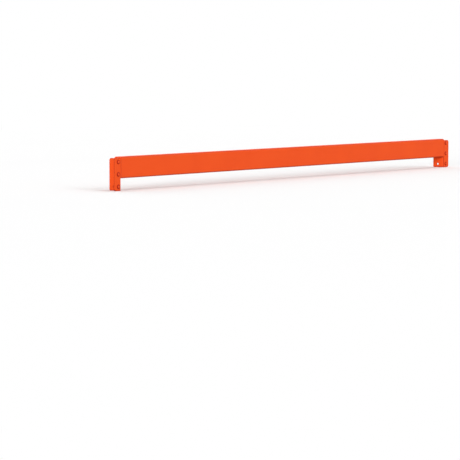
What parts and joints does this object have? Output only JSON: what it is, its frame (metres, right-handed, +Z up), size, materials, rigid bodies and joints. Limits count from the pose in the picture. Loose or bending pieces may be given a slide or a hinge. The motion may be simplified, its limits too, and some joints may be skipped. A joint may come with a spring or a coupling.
{
  "type": "pallet rack beam",
  "caption": "Pallet rack step beam: a roll-formed steel tube with a bent, riveted hook connector welded to each end.",
  "frame": {"origin": "middle of the overall length and depth, on the plane through the lower ends of the two connectors", "axes": "+X along the beam to the right-hand connector as seen from the front, +Y from the front face into the rack, +Z up"},
  "size_m": [2.5244, 0.0642, 0.1397],
  "materials": {
    "painted_tube": "satin",
    "painted_plate": "satin",
    "painted_rivet": "satin",
    "painted_weld": "satin"
  },
  "bodies": {
    "root": {"beam_tube": "painted_tube", "left_connector": "painted_plate", "right_connector": "painted_plate", "left_rivet_upper": "painted_rivet", "left_rivet_middle": "painted_rivet", "left_rivet_lower": "painted_rivet", "right_rivet_upper": "painted_rivet", "right_rivet_middle": "painted_rivet", "right_rivet_lower": "painted_rivet", "left_front_weld": "painted_weld", "left_top_weld": "painted_weld", "left_riser_weld": "painted_weld", "left_bottom_weld": "painted_weld", "left_back_weld": "painted_weld", "right_front_weld": "painted_weld", "right_top_weld": "painted_weld", "right_riser_weld": "painted_weld", "right_bottom_weld": "painted_weld", "right_back_weld": "painted_weld"}
  },
  "joints": []
}
